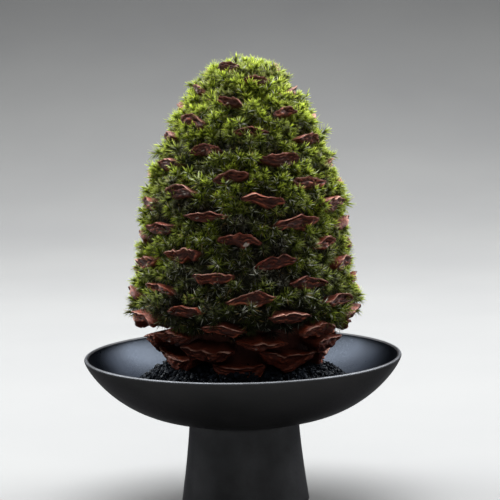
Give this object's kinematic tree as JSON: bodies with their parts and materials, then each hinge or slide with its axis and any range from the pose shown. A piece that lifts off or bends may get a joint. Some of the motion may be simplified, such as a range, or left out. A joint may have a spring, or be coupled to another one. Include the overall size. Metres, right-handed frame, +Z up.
{
  "type": "moss bowl garden",
  "caption": "Upright conifer cone overgrown with moss, its scale tips showing, set in black grit in a shallow footed black metal bowl.",
  "frame": {"origin": "centre of the foot's base, on the surface it stands on", "axes": "+Z up, -Y towards the side that the picture shows, +X to that view's right"},
  "size_m": [0.16, 0.16, 0.2243],
  "materials": {
    "blackened_metal": "satin, near black",
    "black_grit": "matte, with glints",
    "cone_wood": "dark reddish brown, slightly glossy",
    "moss": "soft, leafy green"
  },
  "bodies": {
    "root": {"bowl": "blackened_metal", "foot": "blackened_metal", "grit": "black_grit", "pine_cone": "cone_wood", "moss": "moss"}
  },
  "joints": []
}
